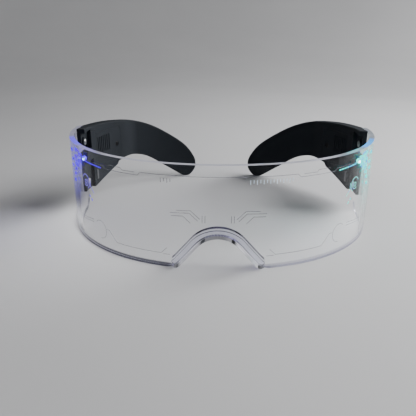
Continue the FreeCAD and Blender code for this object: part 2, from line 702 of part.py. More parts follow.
def make_screw(name, place, radius, length, head_radius, head_height):
    """A screw whose head lies on the inner side of its place and whose shank runs outward."""
    body = left_body(name, place)
    profile = new_sketch(body, f"{name}_profile", role="XZ_Plane")
    head = ((0, -head_height), (head_radius, -head_height), (head_radius, 0))
    corners = head + ((radius, 0), (radius, length), (0, length))
    add_loop(profile, [Vector(x, y, 0) for x, y in corners])
    revolve(body, profile, "V_Axis")


def make_cover(name, place, depth, length, height, corner):
    """A lid with a flat underside at a depth, whose inner face follows the housing."""
    body = left_body(name, place)
    slab = new_sketch(body, f"{name}_slab")
    add_box(slab, length, height, corner=corner)
    extrude(body, slab, depth - HOUSING_INNER + 2 * OVERRUN, reverse=True)
    face = new_sketch(body, f"{name}_face", role="XZ_Plane")
    add_disc(face, HOUSING_INNER, 0, -depth)
    extrude(body, face, 2 * height, "Pocket", middle=True)
    return body


# Lens screws
for name, up in zip(("lens_screw_upper", "lens_screw_lower"), LENS_SCREW_UPS):
    seat_radius = FLANGE_INNER - size("lug_height")
    make_screw(name, frame(size("lens_screw_arc"), up, seat_radius), size("lens_screw_radius"),
               WRAP - seat_radius - size("lens_screw_sink"), size("lens_screw_head_radius"),
               size("lens_screw_head_height"))

# LED and its two leads
led_place = frame(size("led_axis_arc"), LED_UP, LED_RADIUS)
led_tip = size("led_tip_arc") - size("led_axis_arc")
led_base = led_tip + size("led_length")
led = left_body("led", led_place)
led_profile = new_sketch(led, "led_profile")
dome = size("led_radius")
add_line(led_profile, Vector(led_tip, 0, 0), Vector(led_base, 0, 0))
add_line(led_profile, Vector(led_base, 0, 0), Vector(led_base, dome, 0))
add_line(led_profile, Vector(led_base, dome, 0), Vector(led_tip + dome / 2, dome, 0))
add_line(led_profile, Vector(led_tip + dome / 2, dome, 0), Vector(led_tip, dome / 2, 0))
add_line(led_profile, Vector(led_tip, dome / 2, 0), Vector(led_tip, 0, 0))
revolve(led, led_profile, "H_Axis")
lead_end = LED_END * math.sin(axis_turn)
for name, way in (("led_lead_upper", 1), ("led_lead_lower", -1)):
    lead = doc.addObject("Part::Box", f"{name}_left")
    lead.Length = lead_end - led_base
    lead.setExpression("Width", "Sizes.led_lead_side")
    lead.setExpression("Height", "Sizes.led_lead_side")
    lead_up = way * size("led_lead_pitch") / 2 - LEAD_SIDE / 2
    lead.Placement = shifted(led_place, led_base, lead_up, -LEAD_SIDE / 2)
    left_parts.append(lead)

# Circuit board with its screw, the mode chip and the switch
board = left_body("circuit_board", frame(size("board_arc"), BOARD_UP, BOARD_FACE))
board_outline = new_sketch(board, "board_outline")
add_box(board_outline, size("board_width"), BOARD_HIGH - BOARD_LOW)
add_circle(board_outline, "board_screw_radius", 0, BOARD_SCREW_UP - BOARD_UP)
extrude(board, board_outline, "Sizes.board_thickness")
make_screw("board_screw", frame(size("board_arc"), BOARD_SCREW_UP, BOARD_FACE),
           size("board_screw_radius"), size("board_screw_length"), size("board_screw_head_radius"),
           size("board_screw_head_height"))

chip = left_body("mode_chip", frame(size("board_arc"), CHIP_UP, BOARD_FACE))
chip_block = new_sketch(chip, "chip_block", lifted(-size("chip_standoff")))
add_box(chip_block, size("chip_width"), size("chip_height"))
extrude(chip, chip_block, "Sizes.chip_thickness", reverse=True)
chip_legs = new_sketch(chip, "chip_legs")
for number in range(int(size("chip_leg_pairs"))):
    leg_up = (number - (size("chip_leg_pairs") - 1) / 2) * size("chip_leg_pitch")
    add_box(chip_legs, size("chip_width") + 2 * size("chip_leg_reach"), size("chip_leg_width"), 0, leg_up)
extrude(chip, chip_legs, 2 * size("chip_standoff"), reverse=True)

BRIM_FACE = LID_SEAT + size("button_seat_gap")
BRIM_BACK = BRIM_FACE + size("button_brim_thickness")
plunger_top = BRIM_BACK + size("button_travel") + size("button_seat_gap")
switch = left_body("tact_switch", frame(size("board_arc"), BUTTON_UP, BOARD_FACE))
switch_base = new_sketch(switch, "switch_base")
add_box(switch_base, size("switch_side"), size("switch_side"))
extrude(switch, switch_base, "Sizes.switch_height", reverse=True)
plunger = new_sketch(switch, "switch_plunger")
add_circle(plunger, "switch_plunger_radius")
extrude(switch, plunger, BOARD_FACE - plunger_top, reverse=True)

# Mode button, with a brim that holds it behind the lid
button = left_body("mode_button", frame(size("board_arc"), BUTTON_UP, BRIM_FACE))
button_form = size("button_width"), size("button_height"), size("button_corner")


def add_button_form(sketch, margin=0.0):
    """The button's outline, wider all round by a margin."""
    wide, high, corner = button_form
    add_box(sketch, wide + 2 * margin, high + 2 * margin, corner=corner + margin)


cap = new_sketch(button, "button_cap")
add_button_form(cap)
extrude(button, cap, BRIM_FACE - HOUSING_INNER + size("button_proud"), reverse=True)
brim = new_sketch(button, "button_brim")
add_button_form(brim, size("button_brim"))
extrude(button, brim, "Sizes.button_brim_thickness")

lid = make_cover("board_lid", frame(size("board_arc"), BOARD_UP, LID_SEAT), LID_SEAT,
                 SEAT_WIDTH - 2 * size("lid_gap"), SEAT_HEIGHT - 2 * size("lid_gap"),
                 SEAT_CORNER - size("lid_gap"))
button_slot = new_sketch(lid, "button_slot", lifted(OVERRUN, BUTTON_UP - BOARD_UP))
add_button_form(button_slot, size("button_gap"))
extrude(lid, button_slot, LONG_CUT, "Pocket")

# Coin cell and its two contact strips
cell = left_body("coin_cell", shifted(frame(BATTERY_ARC, BATTERY_UP, CELL_BACK), -CELL_SHIFT))
can = new_sketch(cell, "cell_can")
add_circle(can, "cell_radius")
extrude(cell, can, "Sizes.cell_thickness", reverse=True)

STRIP = size("strip_thickness")
strip_front = -(CELL_SHIFT + size("cell_radius") + size("cell_gap") + STRIP)
strip_rear = -CELL_SHIFT + size("strip_overlap") / 2


def make_strip(name, up, seat, foot, turn):
    """An L-shaped contact strip: a flat arm along the cell and a leg beside it."""
    body = left_body(name, frame(BATTERY_ARC, BATTERY_UP + up, seat))
    profile = new_sketch(body, f"{name}_profile", role="XZ_Plane")
    leg_back = strip_front + STRIP
    corners = ((strip_front, 0), (strip_rear, 0), (strip_rear, turn * STRIP), (leg_back, turn * STRIP),
               (leg_back, turn * foot), (strip_front, turn * foot))
    add_loop(profile, [Vector(x, y, 0) for x, y in corners])
    extrude(body, profile, "Sizes.strip_width", middle=True)


make_strip("contact_plate", -STRIP_AWAY, BATTERY_FLOOR, BATTERY_FLOOR - CELL_FACE, -1)
make_strip("contact_spring", STRIP_AWAY, SPRING_FACE, BATTERY_FLOOR - SPRING_FACE, 1)

# Leads from the contact strips through the slot to the back of the board
LEAD = size("lead_side") / 2
for name, side in (("cell_lead_minus", 1), ("cell_lead_plus", -1)):
    up = BATTERY_UP + side * STRIP_AWAY
    strip_side = frame(BATTERY_ARC, up, CELL_BACK - size("lead_start_drop"))
    board_side = frame(size("board_arc"), up, BOARD_BACK + size("lead_end_gap") + LEAD)
    start = shifted(strip_side, strip_front - LEAD).Base
    end = shifted(board_side, size("lead_end_shift")).Base
    lead = doc.addObject("Part::Box", f"{name}_left")
    lead.Length = (end - start).Length
    lead.setExpression("Width", "Sizes.lead_side")
    lead.setExpression("Height", "Sizes.lead_side")
    way = FreeCAD.Rotation(end - start, Vector(), UP, "XZY")
    lead.Placement = shifted(Placement(start, way), 0, -LEAD, -LEAD)
    left_parts.append(lead)

# Battery cover with its finger ribs, and the screw that holds it
cover = make_cover("battery_cover", frame(BATTERY_ARC, BATTERY_UP, COVER_SEAT), COVER_SEAT,
                   BATTERY_LENGTH - 2 * size("cover_gap"),
                   BATTERY_HEIGHT - 2 * size("cover_gap"),
                   size("battery_bay_corner") - size("cover_gap"))
ribs = new_sketch(cover, "grip_ribs", lifted(-size("rib_raise")), "XZ_Plane")
for number in range(int(size("rib_count"))):
    arc = size("rib_shift") + (number - (size("rib_count") - 1) / 2) * size("rib_pitch")
    out = Vector(math.sin(arc / WRAP), math.cos(arc / WRAP), 0)
    side = Vector(out.y, -out.x, 0) * (size("rib_width") / 2)
    centre = Vector(0, -COVER_SEAT, 0)
    inner = centre + out * (HOUSING_INNER - size("rib_proud"))
    outer = centre + out * (HOUSING_INNER + size("rib_proud"))
    add_loop(ribs, [inner - side, inner + side, outer + side, outer - side])
extrude(cover, ribs, "Sizes.rib_length", middle=True)
screw_along = COVER_SCREW_SHIFT
face_depth = math.sqrt(HOUSING_INNER ** 2 - screw_along ** 2)
RECESS_FLOOR = face_depth + size("cover_screw_recess")
screw_up = size("cover_screw_raise")
cover_hole = new_sketch(cover, "cover_hole", lifted(OVERRUN))
add_circle(cover_hole, "cover_screw_radius", screw_along, screw_up)
extrude(cover, cover_hole, size("housing_thickness"), "Pocket")
recess_hole = new_sketch(cover, "screw_recess", lifted(RECESS_FLOOR - COVER_SEAT))
add_disc(recess_hole, size("cover_screw_head_radius") + size("cover_screw_gap"), screw_along, screw_up)
extrude(cover, recess_hole, size("housing_thickness"), "Pocket")
make_screw("cover_screw", shifted(frame(BATTERY_ARC, COVER_SCREW_UP, RECESS_FLOOR), screw_along),
           size("cover_screw_radius"), size("cover_screw_length"), size("cover_screw_head_radius"),
           size("cover_screw_head_height"))

# The wearer's right side is the mirror image
right_parts = []
for part in left_parts:
    mirrored = doc.addObject("Part::Mirroring", part.Label.replace("_left", "_right"))
    mirrored.Source = part
    mirrored.Normal = Vector(1, 0, 0)
    right_parts.append(mirrored)
doc.recompute()

# Check every object, then write one file per sub-part
for item in doc.Objects:
    if "Invalid" in item.State or "Error" in item.State:
        raise RuntimeError(f"{item.Name} failed: {item.State}")
os.makedirs("parts", exist_ok=True)
for part in [lens, nose_pad] + left_parts + right_parts:
    if part.Shape.isNull() or not part.Shape.isValid() or part.Shape.Volume <= 0:
        raise RuntimeError(f"{part.Label} has no valid shape")
    part.Shape.exportStep(f"parts/{part.Label}.step")
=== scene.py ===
import math
import bpy
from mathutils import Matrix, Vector


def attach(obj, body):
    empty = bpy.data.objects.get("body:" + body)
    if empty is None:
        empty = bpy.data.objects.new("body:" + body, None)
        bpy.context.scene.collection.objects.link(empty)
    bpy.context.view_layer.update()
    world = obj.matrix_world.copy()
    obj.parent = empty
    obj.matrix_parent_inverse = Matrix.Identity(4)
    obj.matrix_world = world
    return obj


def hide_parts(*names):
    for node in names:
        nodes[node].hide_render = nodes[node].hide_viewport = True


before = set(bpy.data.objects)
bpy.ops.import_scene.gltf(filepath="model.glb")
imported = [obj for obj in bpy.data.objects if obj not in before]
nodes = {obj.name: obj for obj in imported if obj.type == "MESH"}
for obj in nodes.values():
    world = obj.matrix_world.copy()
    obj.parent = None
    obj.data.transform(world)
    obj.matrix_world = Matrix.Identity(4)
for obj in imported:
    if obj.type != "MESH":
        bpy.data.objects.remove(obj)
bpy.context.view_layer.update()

# --- Visor lens -----------------------------------------------------------------------------
# One sheet of clear polycarbonate, 2.5 mm thick, bent round the face and standing on its lower
# edge. Light from both temples runs inside it and comes out along the cut edges. That light,
# and the lens's shade and highlights, are painted into its colour and glow below.
MM = 0.001


class Value:
    """A socket of a finish, so that shader maths reads as plain sums."""

    def __init__(self, finish, socket):
        self.finish, self.socket = finish, socket

    def maths(self, operation, *terms):
        return self.finish.node("ShaderNodeMath", {"operation": operation}, dict(enumerate(terms)))

    def __add__(self, other):
        return self.maths("ADD", self, other)

    def __sub__(self, other):
        return self.maths("SUBTRACT", self, other)

    def __rsub__(self, other):
        return self.maths("SUBTRACT", other, self)

    def __mul__(self, other):
        return self.maths("MULTIPLY", self, other)

    def __truediv__(self, other):
        return self.maths("DIVIDE", self, other)

    def __pow__(self, other):
        return self.maths("POWER", self, other)

    def __abs__(self):
        return self.maths("ABSOLUTE", self)

    def above(self, low, high):
        """A smooth step from 0 at low to 1 at high. It falls instead if high is less than low."""
        return self.finish.node("ShaderNodeMapRange", {"interpolation_type": "SMOOTHSTEP"},
                                {"Value": self, "From Min": low, "From Max": high})


class Finish:
    """A material built of nodes round one Principled shader."""

    def __init__(self, name, **shader):
        self.material = bpy.data.materials.new(name)
        self.material.use_nodes = True
        self.nodes = self.material.node_tree.nodes
        self.links = self.material.node_tree.links
        self.nodes.clear()
        output = self.nodes.new("ShaderNodeOutputMaterial")
        self.shader = self.nodes.new("ShaderNodeBsdfPrincipled")
        self.links.new(self.shader.outputs[0], output.inputs["Surface"])
        self.place = self.node("ShaderNodeTexCoord", {}, {}, "Object")
        self.set(**shader)

    def feed(self, socket, value):
        if isinstance(value, Value):
            self.links.new(value.socket, socket)
        else:
            socket.default_value = value

    def set(self, **sockets):
        """Feeds the shader's sockets, named with _ for a space."""
        for name, value in sockets.items():
            self.feed(self.shader.inputs[name.replace("_", " ")], value)

    def node(self, kind, settings, sockets, out=0):
        """Adds a node, feeds its sockets and gives one of its outputs."""
        made = self.nodes.new(kind)
        for name, value in settings.items():
            setattr(made, name, value)
        for name, value in sockets.items():
            self.feed(made.inputs[name], value)
        return Value(self, made.outputs[out])

    def vectors(self, operation, first, second, out=0):
        return self.node("ShaderNodeVectorMath", {"operation": operation},
                         {0: first, 1: second}, out)

    def part(self, vector, axis):
        return self.node("ShaderNodeSeparateXYZ", {}, {"Vector": vector}, axis)

    def normal(self):
        return self.node("ShaderNodeNewGeometry", {}, {}, "Normal")

    def mix(self, factor, first, second):
        return self.node("ShaderNodeMix", {"data_type": "RGBA"},
                         {0: factor, 6: first, 7: second}, 2)

    def noise(self, size, detail=3.0, roughness=0.5, squeeze=None):
        """Noise in patches of about that many millimetres, made shorter along a squeezed axis."""
        place = self.vectors("MULTIPLY", self.place, squeeze) if squeeze else self.place
        return self.node("ShaderNodeTexNoise", {}, {"Vector": place, "Scale": 1 / (size * MM),
                                                    "Detail": detail, "Roughness": roughness})

    def distance(self, point, weights=(1, 1, 1)):
        """How far a place is from a point in millimetres, with a weight for each axis."""
        place = self.vectors("MULTIPLY", self.place, weights)
        point = Vector([part * weight for part, weight in zip(point, weights)])
        return self.vectors("DISTANCE", place, point, "Value") / MM

    def worn_edges(self, reach):
        """1 where a sharp edge is within reach, in millimetres, and 0 on open faces."""
        rounded = self.node("ShaderNodeBevel", {"samples": 4}, {"Radius": reach * MM})
        return self.vectors("DOT_PRODUCT", rounded, self.normal(), "Value").above(0.99, 0.8)

    def bump(self, height, depth, strength=1.0):
        """A relief of that depth in millimetres."""
        self.set(Normal=self.node("ShaderNodeBump", {}, {"Height": height, "Distance": depth * MM,
                                                         "Strength": strength}))

    def grained(self, grain, dark, pale, roughness, rougher, depth):
        """Colour, roughness and relief all follow one grain, in which pale places are rougher."""
        self.set(Base_Color=self.mix(grain, dark, pale), Roughness=grain * rougher + roughness)
        self.bump(grain, depth)

    def pass_lamps(self, share):
        """Lamps shine through the piece instead of leaving it black in its own shadow."""
        lamp_ray = self.node("ShaderNodeLightPath", {}, {}, "Is Shadow Ray")
        self.set(Alpha=1 - lamp_ray * share)


def dress(finish, *names):
    """Gives CAD nodes their finish."""
    for name in names:
        materials = nodes[name].data.materials
        materials.clear()
        materials.append(finish.material)


# The wearer's sides, each with the sign of its x.
SIDES = {"left": 1, "right": -1}
LIGHT_TIPS = {side: Vector((77.16 * mirror, -6.58, 32.5)) * MM for side, mirror in SIDES.items()}
# The main and the second hue of each light.
HUES = {"left": ((0.0, 0.90, 0.70, 1), (0.01, 0.30, 1.0, 1)),
        "right": ((0.06, 0.0, 1.0, 1), (0.14, 0.01, 0.95, 1))}
UNLIT = (0, 0, 0, 1)

clear_lens = Finish("clear_lens", Transmission_Weight=1.0, IOR=1.17,
                    Specular_Tint=(0.6, 0.6, 0.65, 1), Emission_Strength=1.6)
up_facing = clear_lens.part(clear_lens.normal(), 2)
flat_top = up_facing.above(0.85, 0.97)
cut_edge = abs(up_facing).above(0.3, 0.5)
along = clear_lens.part(clear_lens.place, 0) / MM
height = clear_lens.part(clear_lens.place, 2) / MM
# Painted shade: the lowest 1.5 mm of the lens, by its lower edge, is tinted dark.
shaded_low_rim = height.above(1.5, 0.8)
smudge = clear_lens.noise(22, 4, 0.6)
clear_lens.set(Roughness=smudge.above(0.55, 0.75) * 0.03 + cut_edge * 0.2 + 0.008)
# Painted shade: the cut edges are tinted darker, the lower and side ones lavender grey and the top
# one darker still.
shaded_edge_tone = clear_lens.mix(flat_top, (0.30, 0.30, 0.42, 1), (0.14, 0.14, 0.17, 1))
# Painted shade on that strip: nearly black on the wearer's right, lavender grey towards the left.
painted_rim_shade = clear_lens.mix(along.above(-20, 40), (0.03, 0.03, 0.045, 1), (0.55, 0.55, 0.66, 1))
tone = clear_lens.mix(cut_edge, (0.985, 0.988, 1, 1), shaded_edge_tone)
tone = clear_lens.mix(shaded_low_rim, tone, painted_rim_shade)
# Painted highlight: the top cut edge glows pale grey.
glow = clear_lens.mix(flat_top, UNLIT, (0.17, 0.17, 0.20, 1))
speck = clear_lens.noise(1.1, 2, 0.7).above(0.5, 0.64)
for side, tip in LIGHT_TIPS.items():
    # Each light's glow is painted into the lens, as emission and tint in the cut edge above it, in
    # the wall before it and round its own tip.
    colour, second = HUES[side]
    edge_hue, edge_power = {"left": (second, 0.8), "right": (colour, 0.55)}[side]
    lit_wall_tint = {"left": (0.55, 0.62, 0.68, 1), "right": (0.40, 0.40, 0.66, 1)}[side]
    above_tip = tip + Vector((-3 * SIDES[side], -24, 16.5)) * MM
    before_tip = tip + Vector((-4 * SIDES[side], -21, 5)) * MM
    along_edge = clear_lens.distance(above_tip).above(14, 5) * cut_edge
    in_wall = clear_lens.distance(before_tip, (1, 1, 0.7)).above(19, 5) * (1 - cut_edge)
    from_tip = clear_lens.distance(tip)
    halo = from_tip.above(9, 3) * 0.35 + from_tip.above(40, 10) * 0.02
    lit = in_wall * speck * 0.32 + halo
    tone = clear_lens.mix(in_wall * 0.8, tone, lit_wall_tint)
    tone = clear_lens.mix(lit * 1.3, clear_lens.mix(along_edge, tone, edge_hue), colour)
    glow = clear_lens.mix(along_edge * edge_power, glow, edge_hue)
    glow = clear_lens.mix(lit * 0.8, glow, colour)
clear_lens.set(Base_Color=tone, Emission_Color=glow)
clear_lens.pass_lamps(0.85)
clear_lens.bump(clear_lens.noise(60, 2, 0.4), 0.02)
dress(clear_lens, "visor_lens")

# --- Engraved lines -------------------------------------------------------------------------
# Tracks like those of a circuit board, with jogs, ticks and rings, cut by laser into the rear
# face of the lens. Near the lights, strokes in its front face stand for light that it scatters.
WALL = 2.5
# Seen from above, the lens is a wide front arc that a tighter arc continues at each end. JOIN is
# the angle at which they meet.
FRONT_Y, FRONT_RADIUS = -73.819, 98
WRAP_X, WRAP_Y, WRAP_RADIUS = 8, 1.5535, 74
JOIN = math.asin(WRAP_X / (FRONT_RADIUS - WRAP_RADIUS))
# A stroke sits this deep in its face and stands this far out of it. It has a point at least
# every STROKE_STEP millimetres, so that it follows the arcs.
SUNK, PROUD = 0.03, 0.05
IN_REAR, IN_FRONT = (WALL - SUNK, WALL + PROUD), (-PROUD, SUNK)
STROKE_STEP = 1.5


def on_lens(run, up, depth):
    """A point on the lens: run along its front from the middle, up, and depth behind its front."""
    side = math.copysign(1, run)
    front_run = FRONT_RADIUS * JOIN
    if abs(run) < front_run:
        turn, radius = run / FRONT_RADIUS, FRONT_RADIUS - depth
        centre = Vector((0, FRONT_Y + FRONT_RADIUS, 0))
    else:
        turn, radius = side * (JOIN + (abs(run) - front_run) / WRAP_RADIUS), WRAP_RADIUS - depth
        centre = Vector((WRAP_X * side, WRAP_Y, 0))
    return (centre + Vector((math.sin(turn) * radius, -math.cos(turn) * radius, up))) * MM


def evenly(points, step):
    """The points with more between them, so that none are further apart than the step."""
    run = [Vector(points[0])]
    for point in points[1:]:
        start, end = run[-1].copy(), Vector(point)
        count = max(1, math.ceil((end - start).length / step))
        run += [start.lerp(end, part / count) for part in range(1, count + 1)]
    return run


def ring(run, up, radius):
    """The 24 corners of a ring, and the first one again."""
    turns = [part * math.pi / 12 for part in range(25)]
    return [(run + radius * math.cos(turn), up + radius * math.sin(turn)) for turn in turns]


def add_mesh(name, vertices, faces, finish):
    mesh = bpy.data.meshes.new(name)
    mesh.from_pydata([tuple(v) for v in vertices], [], faces)
    mesh.validate()
    mesh.materials.append(finish.material)
    piece = bpy.data.objects.new(name, mesh)
    bpy.context.scene.collection.objects.link(piece)
    return piece


def new_piece(name, vertices, faces, finish, body="glasses"):
    """A mesh of the object, which rides on a body."""
    piece = add_mesh(name, vertices, faces, finish)
    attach(piece, body)
    return piece


def engrave(name, strokes, width, finish, mirror, face=IN_REAR):
    """Strokes in the rear or front face of the lens, each of them a closed strip."""
    vertices, faces = [], []
    low, high = face
    for stroke in strokes:
        points = evenly([Vector((mirror * run, up)) for run, up in stroke], STROKE_STEP)
        closed = (points[0] - points[-1]).length < 0.01
        first = len(vertices)
        for at, point in enumerate(points):
            before = points[at - 1] if at else points[-2] if closed else point
            after = points[at + 1] if at + 1 < len(points) else points[1] if closed else point
            way = (after - before).normalized()
            side = Vector((-way.y, way.x)) * width / 2
            for depth, edge in ((low, side), (high, side), (high, -side), (low, -side)):
                vertices.append(on_lens(point.x + edge.x, point.y + edge.y, depth))
        for at in range(len(points) - 1):
            near, far = first + 4 * at, first + 4 * at + 4
            for corner in range(4):
                follow = (corner + 1) % 4
                faces.append((near + corner, near + follow, far + follow, far + corner))
        faces.append((first + 3, first + 2, first + 1, first))
        last = first + 4 * (len(points) - 1)
        faces.append((last, last + 1, last + 2, last + 3))
    new_piece(name, vertices, faces, finish)


LONG_RUNS = [
    [(0, 42.8), (36, 42.8), (37.4, 41.4), (57, 41.4), (58.2, 42.6), (84, 42.6), (86, 44.6),
     (100, 44.6)],
    [(39, 42.6), (46, 42.6), (47, 43.6), (54, 43.6)],
    [(24, 8.4), (26.8, 5.6), (52, 5.6), (57, 10.6), (59, 10.6)], [(22.6, 5.2), (26, 5.2)],
    [(70, 11.6), (88, 9.6), (90, 11.6), (102, 11.6)],
    [(70, 13.0), (87.4, 11.0), (89.4, 13.0), (96, 13.0)],
    [(95, 37), (95, 27), (98, 24), (98, 16)], [(97, 37), (97, 28), (100, 25), (100, 18)],
    [(99, 35), (99, 29), (102, 26), (102, 20)], [(104, 40), (104, 33), (108, 29), (108, 22)],
    ring(64, 9.4, 4.6)[3:19], ring(98, 14.6, 1.4), ring(100, 16.6, 1.4), ring(102, 18.6, 1.4),
]
NOSE_RUNS = [
    [(22, 25.8), (13, 26.1), (9.2, 22.6)], [(19, 27.0), (12.5, 27.3), (8.3, 23.5)],
    [(7.2, 21.8), (7.2, 25.2)], [(5.9, 21.8), (5.9, 25.2)],
    [(21.5, 24.4), (16, 24.6), (12.6, 21.4)],
]
TICKS = [[(14 + 1.5 * count, 39.4 + 0.5 * (count % 2)), (14 + 1.5 * count, 41.4)]
         for count in range(14)]

frosted = Finish("frosted_line", IOR=1.49, Emission_Strength=1.0)
grain = frosted.noise(0.8, 2, 0.6)
frosted.grained(grain, (0.20, 0.21, 0.25, 1), (0.42, 0.43, 0.48, 1),
                roughness=0.5, rougher=0.3, depth=0.02)
# Painted light: near each light the frosted lines glow in its hue.
glow = UNLIT
for side, tip in LIGHT_TIPS.items():
    glow = frosted.mix(frosted.distance(tip).above(60, 5) ** 3.0, glow, HUES[side][0])
frosted.set(Emission_Color=glow, Alpha=grain * 0.3 + 0.25)
for side, mirror in SIDES.items():
    engrave(f"engraved_runs_{side}", LONG_RUNS, 0.28, frosted, mirror)
    engrave(f"engraved_nose_runs_{side}", NOSE_RUNS, 0.3, frosted, mirror)

# Painted light: the ticks on the wearer's left glow pale blue, while those on the right stay
# frosted.
bright = Finish("lit_tick", IOR=1.49, Emission_Strength=0.55)
grain = bright.noise(0.9, 2, 0.6)
bright.grained(grain, (0.5, 0.55, 0.62, 1), (0.8, 0.84, 0.9, 1),
               roughness=0.45, rougher=0.3, depth=0.02)
bright.set(Emission_Color=bright.mix(grain, (0.30, 0.46, 0.58, 1), (0.62, 0.78, 0.88, 1)))
engrave("engraved_ticks_left", TICKS, 0.34, bright, 1)
engrave("engraved_ticks_right", TICKS[5:9], 0.34, frosted, -1)

LIT_RUNS = [
    [(57.6, 42.1), (63.5, 42.4), (70.3, 42.7), (72.4, 44.0), (76, 44.0)],
    [(76.5, 42.4), (78.6, 39.6)], [(78, 45.4), (81, 46.4)],
    [(69.0, 26.4), (68.4, 25.4)], [(67.4, 25.0), (66.8, 23.8)],
]
WALL_RUNS = [
    [(74.5, 44.8), (77.6, 44.8), (79, 43.6)], [(79, 46.2), (82, 46.2), (83.2, 45.0)],
    [(75, 41.4), (78.6, 41.4), (80, 40.2)], [(80.5, 42.6), (84, 42.6), (85, 41.6)],
    [(78.5, 38.6), (81.6, 38.6), (83, 37.4)], [(82, 36.0), (84.6, 36.0), (86, 34.8)],
    [(84, 33.2), (86.6, 33.2), (88, 32.0)], [(86.5, 40), (90, 40), (91.4, 38.8)],
    [(88, 44.4), (92, 44.4), (93.4, 43.2)], [(88.4, 36.4), (92, 36.4), (93, 35.4)],
    [(86, 29.4), (88.2, 29.4), (89.4, 28.4)],
]
STREAKS = [[(75.4, 42.6), (77.6, 39.6)], [(81.6, 43.4), (84.4, 40.2)], [(77.4, 45.8), (80, 46.6)]]
HIGH_HATCHING = [[(73.6 + 0.7 * row, 45.4 - 1.2 * row), (82 + row, 45.0 - 1.2 * row)]
                 for row in range(3)]
LOW_HATCHING = [[(78.6 + row, 40.6 - 1.2 * row), (84 + row, 40.2 - 1.2 * row)]
                for row in range(2)]
LIT_RINGS = [ring(75, 31.4, 3.6)[2:17], ring(75, 31.4, 2.2)[9:22], ring(75, 31.4, 1.0),
             [(67.5, 27), (70.5, 30), (70.5, 33)]]
# Painted light: all these strokes, the rings in the rear face too, glow in their light's hues.
for side, mirror in SIDES.items():
    hatching = {"left": HIGH_HATCHING + LOW_HATCHING, "right": LOW_HATCHING}[side]
    brighter = {"left": 1.7, "right": 1.15}[side]
    # Each group: strokes, their width in mm, power, how far the hues are paled, and the face.
    groups = {"runs": (LIT_RUNS, 0.5, 1.2, 0.0, IN_FRONT),
              "streaks": (STREAKS, 0.9, 1.1, 0.0, IN_FRONT),
              "wall_runs": (WALL_RUNS, 1.35, 1.3, 0.0, IN_FRONT),
              "hatching": (hatching, 0.72, 1.5, 0.0, IN_FRONT),
              "rings": (LIT_RINGS, 0.36, 0.9, 0.2, IN_REAR)}
    for name, (strokes, width, power, paler, face) in groups.items():
        lit = Finish(f"lit_{name}_{side}", IOR=1.49, Specular_IOR_Level=0.1,
                     Emission_Strength=power * brighter)
        grain = lit.noise(1.2, 2, 0.6)
        lit.grained(grain, (0.015, 0.015, 0.04, 1), (0.03, 0.03, 0.08, 1),
                    roughness=0.5, rougher=0.3, depth=0.02)
        hues = [tuple(part + (1 - part) * paler for part in hue) for hue in HUES[side]]
        to_second = grain.above(0.1, 0.3) if name == "streaks" else grain.above(0.48, 0.66)
        lit.set(Emission_Color=lit.mix(to_second, *hues))
        engrave(f"lit_{name}_{side}", strokes, width, lit, mirror, face)

# --- Nose pad -------------------------------------------------------------------------------
# A soft clear channel pushed onto the notch of the lens. It is moulded in flexible vinyl, a
# little milky and never quite smooth. The dark violet outlines along its lips are painted shade.
clear_pad = Finish("clear_pad", Transmission_Weight=1.0, IOR=1.45)
cloud = clear_pad.noise(5, 4, 0.6)
# Painted shade: the rims of the lips, where faces turn away from front and back, are tinted dark
# violet.
shaded_lip_rim = abs(clear_pad.part(clear_pad.normal(), 1)).above(0.62, 0.3)
body_tone = clear_pad.mix(cloud, (0.87, 0.87, 0.94, 1), (0.94, 0.94, 0.985, 1))
clear_pad.set(Base_Color=clear_pad.mix(shaded_lip_rim, body_tone, (0.09, 0.08, 0.19, 1)))
clear_pad.set(Roughness=cloud.above(0.45, 0.85) * 0.08 + 0.015)
clear_pad.bump(clear_pad.noise(2.5, 3, 0.6), 0.03)
clear_pad.pass_lamps(0.75)
dress(clear_pad, "nose_pad")

# --- Temple shells --------------------------------------------------------------------------
# Flange, housing and blade in one black ABS moulding with a fine spark-eroded grain. The edges
# that hands touch are polished a little, and dust sits in the grain.


def dress_both(finish, *names):
    """Gives the left and the right one of each CAD node their finish."""
    dress(finish, *[f"{name}_{side}" for side in SIDES for name in names])


black_shell = Finish("black_shell", Specular_IOR_Level=0.05)
patch = black_shell.noise(26, 4, 0.55)
spark = black_shell.noise(0.35, 3, 0.7)
dust = black_shell.noise(3.5, 6, 0.75).above(0.6, 0.74)
worn = black_shell.worn_edges(0.5)
black = black_shell.mix(patch, (0.0160, 0.0185, 0.0225, 1), (0.0210, 0.0240, 0.0285, 1))
black = black_shell.mix(dust * 0.16, black, (0.075, 0.075, 0.078, 1))
black_shell.set(Base_Color=black_shell.mix(worn * 0.35, black, (0.045, 0.048, 0.055, 1)))
black_shell.set(Roughness=patch * 0.10 + spark * 0.14 + 0.46 - worn * 0.14)
black_shell.bump(spark, 0.045, 0.55)
dress_both(black_shell, "temple_shell")

# --- Lens screws ----------------------------------------------------------------------------
# Two small steel screws at each end hold the lens to the flange. They are driven from the
# wearer's side, so their pan heads with a cross recess lie on the lugs inside.
THREAD_PITCH = 0.42
SCREW_STEPS = 36
CROSS_CORNERS = 12
UP = Vector((0, 0, 1))

screw_steel = Finish("screw_steel", Metallic=1.0)
brushed = screw_steel.noise(0.5, 4, 0.6, (1, 1, 6))
tarnish = screw_steel.noise(2.2, 4, 0.6).above(0.5, 0.75)
steel = screw_steel.mix(brushed, (0.36, 0.37, 0.38, 1), (0.56, 0.57, 0.58, 1))
screw_steel.set(Base_Color=screw_steel.mix(tarnish * 0.5, steel, (0.20, 0.18, 0.16, 1)))
screw_steel.set(Roughness=brushed * 0.2 + tarnish * 0.2 + 0.2)
screw_steel.bump(brushed, 0.01)


